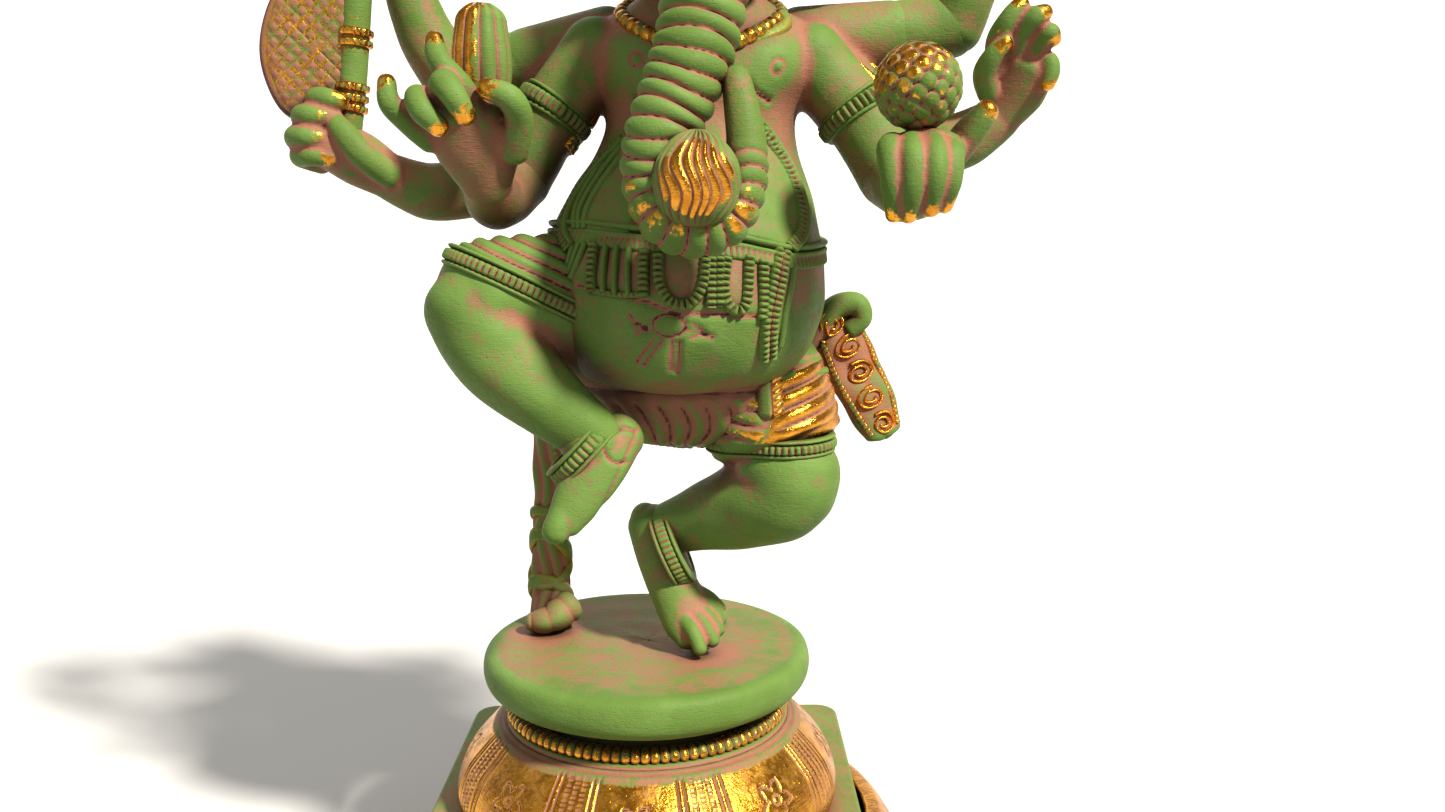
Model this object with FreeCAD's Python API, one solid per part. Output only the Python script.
"""Dancing elephant-headed figure in cast brass, on a turned pedestal.  Millimetres, +Z up.

The origin is the centre of the underside of the foot plate.  The figure faces -Y, and "right" and
"left" are the figure's own sides, so its right side is at -X.  The stand is five turned and cast
pieces held by one tie rod.  The figure is cast in pieces that seat in each other: each casting's
pocket is cut by the piece that goes into it, and dowels cross the shoulder, hip and neck joints.
"""
import FreeCAD, Part
import math
import os

V = FreeCAD.Vector

# ---------------------------------------------------------------- stand, driving sizes
foot_plate_side = 176.0        # square plate that closes the stand from below
foot_plate_thickness = 7.0
drum_height = 35.0             # round bulging drum under the square plate
drum_foot_radius = 78.0
drum_belly_radius = 89.0
drum_top_radius = 81.0
drum_shift_x = 8.0             # the drum sits a little to the figure's left
square_plate_side = 159.0
square_plate_thickness = 7.0
plate_corner_radius = 9.0
plate_edge_round = 1.6
pedestal_height = 34.0         # inverted bowl
pedestal_foot_radius = 69.0
pedestal_belly_radius = 71.5
pedestal_shoulder_radius = 62.0
pedestal_top_radius = 53.0
shell_wall = 5.0               # wall of the hollow stand castings
collar_height = 4.6            # beaded collar on the pedestal's top edge
collar_width = 6.0
neck_height = 9.4              # plain ring that lifts the plinth off the collar
neck_radius = 42.0
neck_wall = 7.0
plinth_radius = 61.2
plinth_top_radius = 58.5
plinth_bottom_radius = 54.0
plinth_thickness = 16.0

# ---------------------------------------------------------------- fasteners
rod_diameter = 8.0
rod_depth_in_plinth = 10.0
rod_spare = 3.0                # rod left below the nut
nut_across_flats = 13.0
nut_height = 6.5
washer_diameter = 26.0
washer_thickness = 2.0
screw_diameter = 4.0
screw_head_diameter = 8.0
screw_head_depth = 2.4
screw_length = 16.0
screw_circle_radius = 62.0
boss_radius = 6.0
boss_height = 14.0
dowel_diameter = 6.0
dowel_length = 22.0
peg_diameter = 6.0
peg_depth_in_plinth = 9.0
peg_depth_in_foot = 8.0
slip = 0.10                    # radial clearance of a rod, dowel or peg in its hole

# ---------------------------------------------------------------- figure, driving sizes
torso_wall = 5.0
core_tenon_radius = 9.0        # round tenon of the hips in the hole at the torso's bottom
core_tenon_height = 12.0
belt_thickness = 1.8
upper_arm_radius = 12.4
elbow_radius = 11.0
wrist_radius = 7.8
thigh_radius = 21.5
knee_radius = 18.5
ankle_radius = 9.0
trunk_root_radius = 14.5
trunk_tip_radius = 4.4
band_radius = 2.8              # section of the anklets and armlets
band_sink = 0.8                # how far a band's centre line lies outside the limb
cord_radius = 2.6              # necklace
modak_height = 33.0
modak_width = 27.0
sweet_radius = 13.6
ear_thickness = 5.0
crown_band_radius = 30.0
crown_band_height = 9.0
crown_height = 52.0
finial_height = 15.0
finial_radius = 6.5
axe_rod_radius = 4.6
axe_blade_thickness = 7.0
goad_rod_radius = 2.8
noose_radius = 13.0
noose_cord_radius = 3.0

# ---------------------------------------------------------------- levels of the stand
drum_bottom = foot_plate_thickness
drum_top = drum_bottom + drum_height
plate_top = drum_top + square_plate_thickness
pedestal_top = plate_top + pedestal_height
plinth_bottom = pedestal_top + neck_height
deck = plinth_bottom + plinth_thickness      # top of the plinth, where the figure stands

SECTION_POINTS = 14
CAP_STEPS = (0.35, 0.68, 0.90)               # radii of the rounded end, as shares of the end's own


def at(x, y, h):
    """A point of the figure: x and y from the pedestal's axis, h above the plinth."""
    return V(x, y, deck + h)


# ---------------------------------------------------------------- shape helpers
def closed_curve(points):
    """A wire of one smooth closed curve through the points."""
    curve = Part.BSplineCurve()
    curve.interpolate(Points=points, PeriodicFlag=True)
    return Part.Wire([curve.toShape()])


def square_to(along, side):
    """The direction nearest to side that is square to along."""
    across = side - along * side.dot(along)
    across.normalize()
    return across


def ring(centre, along, side, half_side, half_other):
    """An ellipse square to a direction, its first half-width lying as near as can be to side."""
    across = square_to(along, side)
    other = along.cross(across)
    points = []
    for k in range(SECTION_POINTS):
        turn = 2 * math.pi * k / SECTION_POINTS
        points.append(centre + across * (half_side * math.cos(turn)) + other * (half_other * math.sin(turn)))
    return closed_curve(points)


def pair(size):
    """A round section may be given by one radius."""
    return size if isinstance(size, tuple) else (size, size)


def smooth(values, t):
    """Catmull-Rom value at t, which counts whole steps along the list."""
    last = len(values) - 1
    i = min(int(t), last - 1)
    u = t - i
    a = values[max(i - 1, 0)]
    b = values[i]
    c = values[i + 1]
    d = values[min(i + 2, last)]
    return (b * 2 + (c - a) * u + (a * 2 - b * 5 + c * 4 - d) * (u * u)
            + (b * 3 - a - c * 3 + d) * (u * u * u)) * 0.5


def tube(points, sizes, side=V(0, 1, 0), steps=3, round_start=True, round_end=True, cap=0.8):
    """A limb: ellipses set square to a smooth path, lofted into one solid with rounded ends.

    The first ellipse's half-width lies along side, and each next one turns as little as it can.
    """
    halves = [pair(size) for size in sizes]
    count = (len(points) - 1) * steps + 1
    stations = [k / steps for k in range(count)]
    centres = [smooth(points, t) for t in stations]
    first = [smooth([h[0] for h in halves], t) for t in stations]
    second = [smooth([h[1] for h in halves], t) for t in stations]
    along = []
    for k in range(count):
        step = centres[min(k + 1, count - 1)] - centres[max(k - 1, 0)]
        step.normalize()
        along.append(step)
    sides = [square_to(along[0], side)]
    for k in range(1, count):
        sides.append(square_to(along[k], sides[-1]))
    wires = []
    if round_start:
        reach = cap * min(first[0], second[0])
        for share in CAP_STEPS:
            back = reach * math.sqrt(1 - share * share)
            wires.append(ring(centres[0] - along[0] * back, along[0], sides[0], first[0] * share,
                              second[0] * share))
    for k in range(count):
        wires.append(ring(centres[k], along[k], sides[k], first[k], second[k]))
    if round_end:
        reach = cap * min(first[-1], second[-1])
        for share in reversed(CAP_STEPS):
            out = reach * math.sqrt(1 - share * share)
            wires.append(ring(centres[-1] + along[-1] * out, along[-1], sides[-1], first[-1] * share,
                              second[-1] * share))
    return Part.makeLoft(wires, True, False)


def level_loft(levels, grow=0.0):
    """A body from level ellipses: each level is (x, y, h, half width, half depth)."""
    wires = []
    for x, y, h, width, depth in levels:
        wires.append(ring(at(x, y, h), V(0, 0, 1), V(1, 0, 0), width + grow, depth + grow))
    return Part.makeLoft(wires, True, False)


def turned(outline, centre_x=0.0, centre_y=0.0):
    """A turned piece: the outline is a list of edges in the XZ plane, carried round the Z axis."""
    face = Part.Face(Part.Wire(outline))
    shape = face.revolve(V(0, 0, 0), V(0, 0, 1), 360)
    shape.translate(V(centre_x, centre_y, 0))
    return shape


def line(a, b):
    return Part.makeLine(V(a[0], 0, a[1]), V(b[0], 0, b[1]))


def curve(points):
    """A smooth edge in the XZ plane through (radius, height) points."""
    spline = Part.BSplineCurve()
    spline.interpolate([V(r, 0, z) for r, z in points])
    return spline.toShape()


def rod(start, direction, radius, length):
    return Part.makeCylinder(radius, length, start, direction)


def rod_between(start, end, radius):
    return rod(start, end - start, radius, (end - start).Length)


def toward(a, b):
    way = b - a
    way.normalize()
    return way


def joined(shapes):
    """One solid from overlapping ones."""
    return shapes[0].multiFuse(shapes[1:]).removeSplitter()


def less(shape, tools):
    """The shape with each tool's room taken out of it, one tool after another."""
    for tool in tools:
        shape = shape.cut(tool)
    return shape


def main_solid(shape):
    """The largest solid of a cut, without the flakes that a glancing cut leaves."""
    return max(shape.Solids, key=lambda solid: solid.Volume)


def band_on(point, direction, limb_radius, stretch=1.0):
    """A ring around a limb."""
    return Part.makeTorus(limb_radius + band_sink, band_radius * stretch, point, direction)


def rounded_plate(side, thickness, bottom, centre_x=0.0):
    plate = Part.makeBox(side, side, thickness, V(centre_x - side / 2, -side / 2, bottom))
    uprights = [e for e in plate.Edges if abs(e.Vertexes[0].Z - e.Vertexes[-1].Z) > thickness / 2]
    plate = plate.makeFillet(plate_corner_radius, uprights)
    rims = [e for e in plate.Edges if e.BoundBox.ZLength < thickness / 4]
    return plate.makeFillet(min(plate_edge_round, thickness / 3), rims)


parts = {}

# ---------------------------------------------------------------- stand
screw_spots = [V(drum_shift_x + screw_circle_radius * math.cos(math.radians(a)),
                 screw_circle_radius * math.sin(math.radians(a)), 0) for a in (45, 135, 225, 315)]
UP = V(0, 0, 1)


def make_drum():
    """Hollow drum, open below, with a closed top deck and four screw bosses under it."""
    top = drum_top
    low = drum_bottom
    swell = [(drum_foot_radius, low), (0.4 * drum_foot_radius + 0.6 * drum_belly_radius, low + 0.20 * drum_height),
             (drum_belly_radius, low + 0.58 * drum_height),
             (0.4 * drum_top_radius + 0.6 * drum_belly_radius, low + 0.84 * drum_height), (drum_top_radius, top)]
    inner_top = drum_top_radius - shell_wall
    inner_foot = drum_foot_radius - shell_wall
    outline = [curve(swell), line((drum_top_radius, top), (0, top)), line((0, top), (0, top - shell_wall)),
               line((0, top - shell_wall), (inner_top, top - shell_wall)),
               line((inner_top, top - shell_wall), (inner_foot, low)), line((inner_foot, low), (drum_foot_radius, low))]
    drum = turned(outline, drum_shift_x)
    for spot in screw_spots:
        drum = drum.fuse(rod(spot + UP * low, UP, boss_radius, top - shell_wall - low))
        drum = drum.cut(rod(spot + UP * low, UP, screw_diameter / 2, boss_height))
    return drum.cut(rod(UP * low, UP, rod_diameter / 2 + slip, drum_height))


def make_pedestal():
    """Inverted bowl with a deck at its top."""
    low = plate_top
    top = pedestal_top
    rise = pedestal_height
    swell = [(pedestal_foot_radius, low), (pedestal_belly_radius, low + 0.28 * rise),
             (pedestal_belly_radius - 3.0, low + 0.60 * rise), (pedestal_shoulder_radius, low + 0.81 * rise),
             (pedestal_top_radius, top)]
    inner = pedestal_foot_radius - shell_wall
    inner_top = pedestal_top_radius - shell_wall
    outline = [curve(swell), line((pedestal_top_radius, top), (0, top)), line((0, top), (0, top - shell_wall)),
               line((0, top - shell_wall), (inner_top, top - shell_wall)),
               line((inner_top, top - shell_wall), (inner, low + 0.5 * rise)),
               line((inner, low + 0.5 * rise), (inner, low)), line((inner, low), (pedestal_foot_radius, low))]
    return turned(outline).cut(rod(UP * low, UP, rod_diameter / 2 + slip, pedestal_height))


def make_plinth():
    """Thick disc with a rounded edge, drilled for the tie rod and the two pegs."""
    side = [(plinth_bottom_radius, plinth_bottom), (plinth_radius - 1.6, plinth_bottom + 0.32 * plinth_thickness),
            (plinth_radius, plinth_bottom + 0.62 * plinth_thickness),
            (plinth_radius - 0.8, deck - 0.12 * plinth_thickness), (plinth_top_radius, deck)]
    outline = [curve(side), line((plinth_top_radius, deck), (0, deck)), line((0, deck), (0, plinth_bottom)),
               line((0, plinth_bottom), (plinth_bottom_radius, plinth_bottom))]
    plinth = turned(outline)
    return plinth.cut(rod(UP * plinth_bottom, UP, rod_diameter / 2, rod_depth_in_plinth))


foot_plate = rounded_plate(foot_plate_side, foot_plate_thickness, 0.0)
for spot in screw_spots:
    foot_plate = foot_plate.cut(rod(spot, UP, screw_diameter / 2 + slip, foot_plate_thickness))
    foot_plate = foot_plate.cut(Part.makeCone(screw_head_diameter / 2 + slip, screw_diameter / 2 + slip,
                                              screw_head_depth, spot, UP))
parts["foot_plate"] = foot_plate

screws = []
for spot in screw_spots:
    head = Part.makeCone(screw_head_diameter / 2, screw_diameter / 2, screw_head_depth, spot, UP)
    screws.append(head.fuse(rod(spot + UP * screw_head_depth, UP, screw_diameter / 2,
                                screw_length - screw_head_depth)).removeSplitter())
parts["foot_plate_screws"] = Part.makeCompound(screws)

parts["lower_drum"] = make_drum()
square_plate = rounded_plate(square_plate_side, square_plate_thickness, drum_top)
parts["square_plate"] = square_plate.cut(rod(UP * drum_top, UP, rod_diameter / 2 + slip, square_plate_thickness))
parts["pedestal"] = make_pedestal()

collar_outer = pedestal_top_radius
collar_inner = collar_outer - collar_width
collar_bulge = [(collar_outer - 1.2, pedestal_top), (collar_outer, pedestal_top + 0.5 * collar_height),
                (collar_outer - 1.2, pedestal_top + collar_height)]
parts["beaded_collar"] = turned([
    curve(collar_bulge),
    line((collar_outer - 1.2, pedestal_top + collar_height), (collar_inner, pedestal_top + collar_height)),
    line((collar_inner, pedestal_top + collar_height), (collar_inner, pedestal_top)),
    line((collar_inner, pedestal_top), (collar_outer - 1.2, pedestal_top))])
neck = rod(UP * pedestal_top, UP, neck_radius, neck_height)
parts["plinth_neck"] = neck.cut(rod(UP * pedestal_top, UP, neck_radius - neck_wall, neck_height))

nut_top = drum_top - shell_wall - washer_thickness
rod_bottom = nut_top - nut_height - rod_spare
rod_top = plinth_bottom + rod_depth_in_plinth
parts["tie_rod"] = rod(UP * rod_bottom, UP, rod_diameter / 2, rod_top - rod_bottom)
washer = rod(UP * nut_top, UP, washer_diameter / 2, washer_thickness)
parts["tie_rod_washer"] = washer.cut(rod(UP * nut_top, UP, rod_diameter / 2 + slip, washer_thickness))
hexagon = [V(nut_across_flats / math.sqrt(3) * math.cos(math.radians(60 * k)),
             nut_across_flats / math.sqrt(3) * math.sin(math.radians(60 * k)), nut_top - nut_height)
           for k in range(7)]
nut = Part.Face(Part.makePolygon(hexagon)).extrude(UP * nut_height)
parts["tie_rod_nut"] = nut.cut(rod(UP * (nut_top - nut_height), UP, rod_diameter / 2, nut_height))

# ---------------------------------------------------------------- body
torso_levels = [(15, -15, 97, 20, 17), (15, -19, 102, 33, 28), (15, -20, 112, 42.5, 36), (15, -20, 126, 47.5, 40),
                (15, -18, 141, 48, 40), (16, -14, 156, 45, 36), (18, -9, 170, 39.5, 31), (20, -5, 182, 34, 27),
                (21, -3, 192, 34, 26), (22, -2, 204, 40, 27), (22, -1, 214, 43, 25), (22, 0, 222, 38, 21),
                (21, -1, 230, 24, 17), (21, -3, 237, 16, 14), (21, -4, 243, 14, 13)]
hip_width = 2 * thigh_radius
hip_levels = [(18, -6, 78, thigh_radius + 2.5, 16), (20, -7, 84, thigh_radius + 14.5, 23),
              (20, -7, 92, hip_width, 28), (19, -8, 100, hip_width + 3, 30),
              (18, -9, 108, hip_width + 2, 31), (17, -10, 114, hip_width - 3, 29)]
core_tenon_spot = (15.0, -17.0)
core_tenon_from = 92.0

torso_full = level_loft(torso_levels)
hollow_levels = [(x, y, h, w - torso_wall, d - torso_wall) for x, y, h, w, d in torso_levels[2:13]]
hips_full = level_loft(hip_levels)

# shoulders, elbows and wrists: (shoulder, middle of the upper arm, elbow), then on to the wrist
arms = {
    "right_front": [at(-14, -4, 213), at(-31, -7, 191), at(-42, -11, 170), at(-47, -27, 163), at(-48, -40, 168)],
    "right_middle": [at(-14, 5, 213), at(-38, 6, 186), at(-58, 3, 168), at(-75, -2, 166), at(-90, -4, 172)],
    "right_raised": [at(-12, 11, 218), at(-42, 16, 212), at(-68, 17, 205), at(-78, 14, 222), at(-84, 11, 240)],
    "left_front": [at(58, -4, 211), at(75, -7, 191), at(86, -13, 171), at(91, -30, 166), at(91, -43, 171)],
    "left_middle": [at(58, 6, 213), at(82, 9, 194), at(98, 7, 180), at(114, 6, 184), at(127, 5, 192)],
    "left_raised": [at(56, 12, 218), at(89, 17, 222), at(112, 18, 225), at(118, 15, 241), at(122, 12, 256)],
}

# hands, each one casting with its forearm: points past the wrist with the half width and half
# thickness there, as palm, knuckles and closed fingers, then the side that the palm's width lies along
hands = {
    "right_front": (V(1, 0.1, 0.2), [(at(-49, -48, 181), 13.5, 7.0), (at(-51, -56, 193), 13.0, 6.0),
                                     (at(-55, -61, 204), 10.0, 5.0)]),
    "right_middle": (V(0, 1, 0), [(at(-99, -5, 178), 11.0, 9.5), (at(-106, -7, 183), 11.5, 9.0)]),
    "right_raised": (V(1, 0, 0), [(at(-87, 8, 253), 10.0, 7.0), (at(-88, 2, 264), 9.5, 6.5)]),
    "left_front": (V(1, 0, 0), [(at(90, -55, 177), 13.5, 6.5), (at(88, -68, 177), 13.0, 6.0),
                                (at(87, -76, 168), 11.0, 5.0)]),
    "left_middle": (V(1, -0.4, -0.6), [(at(134, 2, 204), 11.0, 7.5), (at(136, -5, 216), 10.5, 6.5)]),
    "left_raised": (V(1, 0, 0), [(at(125, 9, 268), 10.0, 7.0), (at(126, 3, 279), 9.5, 6.5)]),
}

raised_leg = [at(-6, -14, 118), at(-28, -27, 129), at(-50, -41, 131)]
raised_lower = [at(-52, -42, 129), at(-44, -46, 113), at(-28, -48, 98), at(-13, -47, 86)]
raised_sole = [at(-5, -42, 86), at(-12, -49, 78), at(-20, -54, 67), at(-26, -58, 58)]
standing_leg = [at(35, -5, 105), at(43, -10, 93), at(47, -14, 80)]
standing_lower = [at(51, -18, 70), at(49.5, -18, 62), at(36, -11, 54.5), at(21, -4, 48), at(8, 0, 43)]
standing_sole = [at(1, 3, 44), at(6.5, 0, 31), at(14, -5, 18), at(20, -9, 8), at(23, -12, 4.5)]

thigh_raised_full = tube(raised_leg, [thigh_radius + 1.5, thigh_radius, knee_radius + 0.5])
thigh_standing_full = tube(standing_leg, [thigh_radius + 3, thigh_radius + 3, thigh_radius + 2], V(0, 1, 0),
                           round_end=False)


def whole_arm(name):
    """Upper arm, and the forearm with its hand, each one rounded limb."""
    shoulder, middle, elbow, fore, wrist = arms[name]
    side, hand = hands[name]
    upper = tube([shoulder, middle, elbow], [upper_arm_radius, upper_arm_radius - 0.6, elbow_radius], side)
    sizes = [elbow_radius, elbow_radius - 1.0, wrist_radius] + [(half, thick) for point, half, thick in hand]
    lower = tube([elbow, fore, wrist] + [point for point, half, thick in hand], sizes, side)
    return upper, lower


def dowel_at(start, end, share):
    """A dowel along a limb, share of the way from its start."""
    way = toward(start, end)
    middle = start + (end - start) * share
    return rod(middle - way * (dowel_length / 2), way, dowel_diameter / 2, dowel_length)


def dowel_room(start, end, share):
    way = toward(start, end)
    middle = start + (end - start) * share
    return rod(middle - way * (dowel_length / 2), way, dowel_diameter / 2 + slip, dowel_length)


shoulder_dowels = []
shoulder_rooms = []
shoulder_seat = {"right_front": 0.30, "right_middle": 0.30, "right_raised": 0.34,
                 "left_front": 0.26, "left_middle": 0.26, "left_raised": 0.26}
for name, joints in arms.items():
    shoulder_dowels.append(dowel_at(joints[0], joints[1], shoulder_seat[name]))
    shoulder_rooms.append(dowel_room(joints[0], joints[1], shoulder_seat[name]))
hip_dowels = [dowel_at(raised_leg[0], raised_leg[1], 0.55), dowel_at(standing_leg[0], standing_leg[1], 0.0)]
hip_rooms = [dowel_room(raised_leg[0], raised_leg[1], 0.55), dowel_room(standing_leg[0], standing_leg[1], 0.0)]
neck_dowel = rod(at(21, -4, 243 - dowel_length / 2), UP, dowel_diameter / 2, dowel_length)
neck_room = rod(at(21, -4, 243 - dowel_length / 2), UP, dowel_diameter / 2 + slip, dowel_length)
parts["shoulder_dowels"] = Part.makeCompound(shoulder_dowels)
parts["hip_dowels"] = Part.makeCompound(hip_dowels)
parts["neck_dowel"] = neck_dowel

core_hole = rod(at(core_tenon_spot[0], core_tenon_spot[1], core_tenon_from), UP, core_tenon_radius + slip, 24)
torso = torso_full.cut(level_loft(hollow_levels))
torso = less(torso, [core_hole, neck_room] + shoulder_rooms + hip_rooms)
parts["torso"] = main_solid(torso)

hips = main_solid(hips_full.cut(torso_full))
tenon = rod(at(core_tenon_spot[0], core_tenon_spot[1], core_tenon_from), UP, core_tenon_radius, core_tenon_height)
hips = joined([hips, tenon])
hips_cutter = hips_full
parts["hips"] = main_solid(less(hips, hip_rooms))

raised_thigh = less(thigh_raised_full, [torso_full, hips_cutter] + hip_rooms)
parts["raised_thigh"] = main_solid(raised_thigh)
standing_thigh = less(thigh_standing_full, [torso_full, hips_cutter] + hip_rooms)
parts["standing_thigh"] = main_solid(standing_thigh)

raised_shin_full = tube(raised_lower, [knee_radius - 1, knee_radius - 3.5, ankle_radius + 3, ankle_radius],
                        V(0, 1, 0))
parts["raised_shin"] = main_solid(raised_shin_full.cut(thigh_raised_full))
raised_foot_full = tube(raised_sole, [(8.5, 8.5), (9.5, 8.5), (8.5, 7.0), (5.5, 5.0)], V(1, 0, -0.4))
parts["raised_foot"] = main_solid(raised_foot_full.cut(raised_shin_full))
ankle_way = toward(raised_lower[2], raised_lower[3])
raised_band = band_on(raised_lower[3] - ankle_way * 3, ankle_way, ankle_radius + 1, 1.2)
parts["raised_anklet"] = main_solid(less(raised_band, [raised_shin_full, raised_foot_full]))

standing_shin_full = tube(standing_lower, [knee_radius, knee_radius - 0.5, ankle_radius + 7, ankle_radius + 3.4,
                                           ankle_radius + 0.5], V(0, 1, 0))
parts["standing_shin"] = main_solid(standing_shin_full.cut(thigh_standing_full))
ground = Part.makeBox(200, 200, 60, V(-100, -100, deck - 60))
standing_foot_full = tube(standing_sole, [(9.5, 9.5), (9.8, 9.5), (9.6, 8.5), (10.4, 7.0), (8.5, 5.0)],
                          V(1, 0.3, 0)).cut(ground)
foot_peg_spot = (19.0, -8.0)
sash_peg_spot = (-38.0, 16.0)
peg_rooms = []
pegs = []
for x, y in (foot_peg_spot, sash_peg_spot):
    pegs.append(rod(at(x, y, -peg_depth_in_plinth), UP, peg_diameter / 2, peg_depth_in_plinth + peg_depth_in_foot))
    peg_rooms.append(rod(at(x, y, -peg_depth_in_plinth), UP, peg_diameter / 2 + slip,
                         peg_depth_in_plinth + peg_depth_in_foot))
parts["foot_pegs"] = Part.makeCompound(pegs)
parts["plinth"] = less(make_plinth(), peg_rooms)
parts["standing_foot"] = main_solid(less(standing_foot_full, [standing_shin_full] + peg_rooms))
standing_band = band_on(at(10, -4, 36), V(0.85, -0.35, 0.40), ankle_radius + 3.5, 1.05)
parts["standing_anklet"] = main_solid(less(standing_band, [standing_shin_full, standing_foot_full]))

# ---------------------------------------------------------------- sashes
support_full = tube([at(-38, 16, 3), at(-38, 17, 22), at(-37, 16, 50), at(-35, 12, 78), at(-27, 2, 106)],
                    [(8, 6), (7.2, 5.5), (6.6, 5), (7.5, 5), (9, 6)], V(1, 0, 0)).cut(ground)
support = less(support_full, [torso_full, hips_cutter, thigh_raised_full, raised_shin_full] + peg_rooms)
parts["support_sash"] = main_solid(support)
flying_full = tube([at(50, 9, 108), at(63, 12, 119), at(72, 14, 115), at(78, 14, 100), at(85, 13, 86), at(89, 12, 77)],
                   [(7, 5), (8, 4.5), (9, 4.5), (9.5, 4), (9, 4), (7, 4)], V(-0.6, 0, 1))
flying = less(flying_full, [torso_full, hips_cutter, thigh_standing_full])
parts["flying_sash"] = main_solid(flying)
small_full = tube([at(-30, 12, 112), at(-43, 15, 100), at(-51, 15, 87)], [(6, 4), (6, 3.5), (5, 3)], V(1, 0, 0))
small = less(small_full, [torso_full, hips_cutter, thigh_raised_full, raised_shin_full, support_full])
parts["small_sash"] = main_solid(small)

# ---------------------------------------------------------------- belt with its hanging swags
belt_wide = level_loft(torso_levels[3:8], belt_thickness)
belt_zone = Part.makeBox(140, 140, 10, V(-60, -90, deck + 149))
swag_zone = Part.makeBox(72, 50, 24, V(-20, -75, deck + 126))
belt = belt_wide.common(belt_zone.fuse(swag_zone))
parts["waist_belt"] = main_solid(less(belt, [torso_full, thigh_raised_full]))

# ---------------------------------------------------------------- arms
arm_order = ["right_front", "left_front", "right_middle", "left_middle", "right_raised", "left_raised"]
uppers = {}
lowers = {}
for name in arm_order:
    uppers[name], lowers[name] = whole_arm(name)

axe_grip = [at(-103, -7, 174), at(-99, -5, 205), at(-96, -3, 246)]
tusk_line = [at(-50, -31, 190), at(-50, -31, 206), at(-50, -30, 219)]
goad_line = [at(125, -1, 252), at(126, -1, 312)]
noose_centre = at(-88, -2, 262 + noose_radius + noose_cord_radius)
sweet_centre = at(87, -60, 177 + 6 + sweet_radius)

axe_rod = tube(axe_grip, [axe_rod_radius, axe_rod_radius, axe_rod_radius + 0.8], V(0, 1, 0), steps=2)
blade_points = [(-101, 190), (-112, 188), (-124, 193), (-131, 208), (-130, 222), (-122, 236), (-110, 243), (-99, 240)]
blade_outline = Part.makePolygon([at(x, -5 - axe_blade_thickness / 2, h) for x, h in blade_points + blade_points[:1]])
axe_blade = Part.Face(blade_outline).extrude(V(0, axe_blade_thickness, 0))
parts["axe_handle"] = axe_rod
parts["axe_blade"] = main_solid(axe_blade.cut(axe_rod))
broken_tusk = tube(tusk_line, [7.2, 9.2, 7.8], V(0, 1, 0))
parts["broken_tusk"] = broken_tusk
goad_stem = rod_between(goad_line[0], goad_line[1], goad_rod_radius)
goad_hook = tube([at(126, -1, 300), at(134, -1, 303), at(140, -1, 296), at(139, -1, 288)], [2.4, 2.8, 2.6, 1.6],
                 V(0, 1, 0), steps=2)
goad = joined([goad_stem, goad_hook])
parts["elephant_goad"] = goad
noose = Part.makeTorus(noose_radius, noose_cord_radius, noose_centre, V(0, 1, 0))
parts["noose"] = noose
sweet = Part.makeSphere(sweet_radius, sweet_centre)

held = {"right_middle": [axe_rod, axe_blade], "right_front": [broken_tusk], "left_raised": [goad],
        "right_raised": [noose], "left_front": [sweet], "left_middle": []}
parts["sweet_ball"] = sweet

blocked = [torso_full]
for name in arm_order:
    upper = less(uppers[name], blocked + shoulder_rooms)
    parts[name + "_upper_arm"] = main_solid(upper)
    blocked.append(uppers[name])
for name in arm_order:
    others = [lowers[other] for other in arm_order if arm_order.index(other) < arm_order.index(name)]
    fore = less(lowers[name], [uppers[n] for n in arm_order] + others + held[name])
    parts[name + "_forearm"] = main_solid(fore)

armlets = []
for name in ("right_front", "left_front", "right_middle", "left_middle"):
    shoulder, middle, elbow = arms[name][:3]
    place = middle + (shoulder - middle) * 0.30
    armlets.append(band_on(place, toward(shoulder, middle), upper_arm_radius))
armlets = [main_solid(less(a, [torso_full] + list(uppers.values()))) for a in armlets]
parts["armlets"] = Part.makeCompound(armlets)

# ---------------------------------------------------------------- head
head_levels = [(21, -4, 235, 18, 17), (21, -7, 242, 27, 25), (21, -9, 252, 32, 31), (21, -9, 263, 33.5, 33),
               (21, -8, 274, 31.5, 31), (21, -7, 284, 26, 26), (21, -6, 290, 18, 18)]
head_full = level_loft(head_levels)
trunk_path = [at(22, -34, 257), at(23, -52, 243), at(23, -64, 227), at(20, -70, 209), at(15, -74, 194),
              at(9.5, -77, 180), at(8, -78, 168), at(12, -80, 157.5), at(20, -81, 154), at(28.5, -81, 157),
              at(33.5, -80, 166), at(34.5, -78, 178), at(33, -76, 189), at(31.5, -74, 197)]
trunk_sizes = []
for k in range(len(trunk_path)):
    share = k / (len(trunk_path) - 1)
    trunk_sizes.append(trunk_root_radius + (trunk_tip_radius - trunk_root_radius) * share)
trunk_full = tube(trunk_path, trunk_sizes, V(0, 1, 0.6), steps=2)
head = less(head_full, [torso_full, neck_room] + list(uppers.values()))
parts["head"] = main_solid(head)
parts["trunk"] = main_solid(less(trunk_full, [head_full, torso_full, belt_wide]))
modak_centre = at(20, -87, 169.5)
modak = tube([modak_centre - UP * (0.28 * modak_height), modak_centre, modak_centre + UP * (0.25 * modak_height)],
             [(0.42 * modak_width, 0.36 * modak_width), (0.5 * modak_width, 0.42 * modak_width),
              (0.34 * modak_width, 0.30 * modak_width)], V(1, 0, 0), cap=0.62)
parts["modak"] = main_solid(modak.cut(trunk_full))

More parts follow.
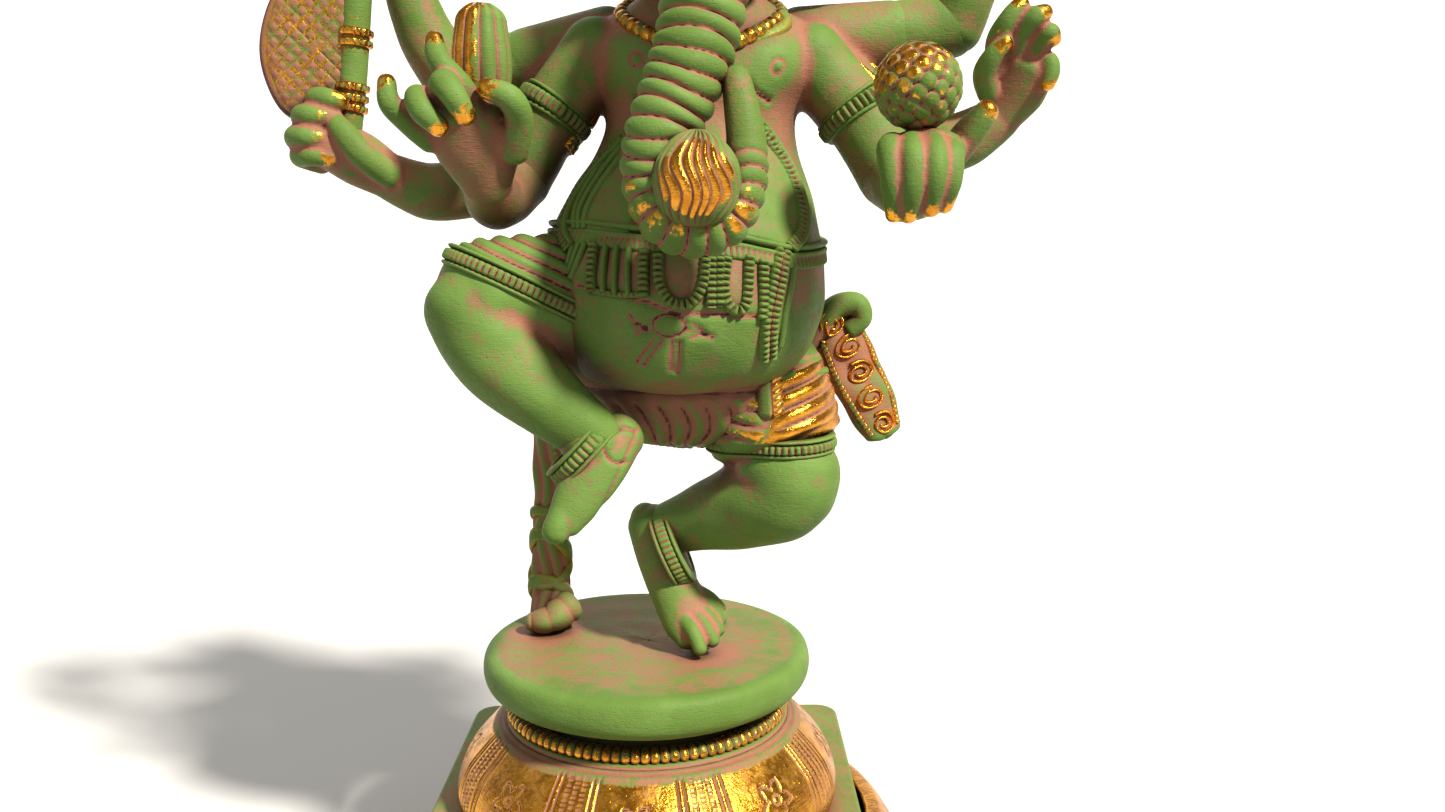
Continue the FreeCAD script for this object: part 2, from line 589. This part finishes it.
for name, sign in (("right_ear", -1), ("left_ear", 1)):
    root = at(21 + sign * 29, -4, 262)
    mid = at(21 + sign * 45, -1, 260)
    tip = at(21 + sign * 60, 5, 254)
    ear = tube([root, mid, tip], [(19, ear_thickness / 2 + 1), (24, ear_thickness / 2), (17, ear_thickness / 2)],
               V(0, 0, 1), cap=1.4)
    parts[name] = main_solid(less(ear, [head_full, torso_full] + list(uppers.values())))
whole_tusk = tube([at(34, -33, 245), at(39, -46, 238), at(43, -58, 236)], [4.4, 3.6, 2.0], V(0, 0, 1), steps=2)
parts["whole_tusk"] = main_solid(less(whole_tusk, [head_full, trunk_full]))
tusk_stub = tube([at(9, -33, 245), at(5, -44, 240)], [4.4, 4.0], V(0, 0, 1), steps=3, round_end=False)
parts["tusk_stub"] = main_solid(less(tusk_stub, [head_full, trunk_full]))

necklace = tube([at(0, 8, 232), at(-6, -9, 225), at(4, -24, 216), at(21, -29, 211), at(38, -24, 216),
                 at(48, -9, 225), at(42, 8, 232)], [cord_radius] * 7, V(0, 0, 1))
parts["necklace"] = main_solid(less(necklace, [torso_full, head_full, trunk_full] + list(uppers.values())))

# ---------------------------------------------------------------- crown, turned about its own axis
crown_x = 21.0
crown_y = -6.0
band_low = deck + 281
tower_low = band_low + crown_band_height
tower_top = tower_low + crown_height
crown_band = turned([curve([(crown_band_radius - 1, band_low), (crown_band_radius + 1.5, band_low + crown_band_height / 2),
                            (crown_band_radius - 1, tower_low)]),
                     line((crown_band_radius - 1, tower_low), (0, tower_low)), line((0, tower_low), (0, band_low)),
                     line((0, band_low), (crown_band_radius - 1, band_low))], crown_x, crown_y)
parts["crown_band"] = main_solid(crown_band.cut(head_full))
tower_profile = [(crown_band_radius - 4, tower_low), (crown_band_radius - 3, tower_low + 0.18 * crown_height),
                 (crown_band_radius - 9, tower_low + 0.36 * crown_height),
                 (crown_band_radius - 10, tower_low + 0.52 * crown_height),
                 (crown_band_radius - 15.5, tower_low + 0.72 * crown_height),
                 (crown_band_radius - 18, tower_low + 0.88 * crown_height), (finial_radius, tower_top)]
crown_tower = turned([curve(tower_profile), line((finial_radius, tower_top), (0, tower_top)),
                      line((0, tower_top), (0, tower_low)), line((0, tower_low), (crown_band_radius - 4, tower_low))],
                     crown_x, crown_y)
parts["crown_tower"] = main_solid(crown_tower.cut(head_full))
finial_profile = [(finial_radius, tower_top), (finial_radius + 1.5, tower_top + 0.35 * finial_height),
                  (finial_radius - 2, tower_top + 0.75 * finial_height), (0.8, tower_top + finial_height)]
parts["crown_finial"] = turned([curve(finial_profile), line((0.8, tower_top + finial_height),
                                                            (0, tower_top + finial_height)),
                                line((0, tower_top + finial_height), (0, tower_top)),
                                line((0, tower_top), (finial_radius, tower_top))], crown_x, crown_y)

# ---------------------------------------------------------------- write one STEP per piece
os.makedirs("parts", exist_ok=True)
for name, shape in parts.items():
    shape.exportStep("parts/%s.step" % name)
    print("%-26s solids %d  volume %9.0f  valid %s" % (name, len(shape.Solids), shape.Volume, shape.isValid()))
print("pieces:", len(parts))
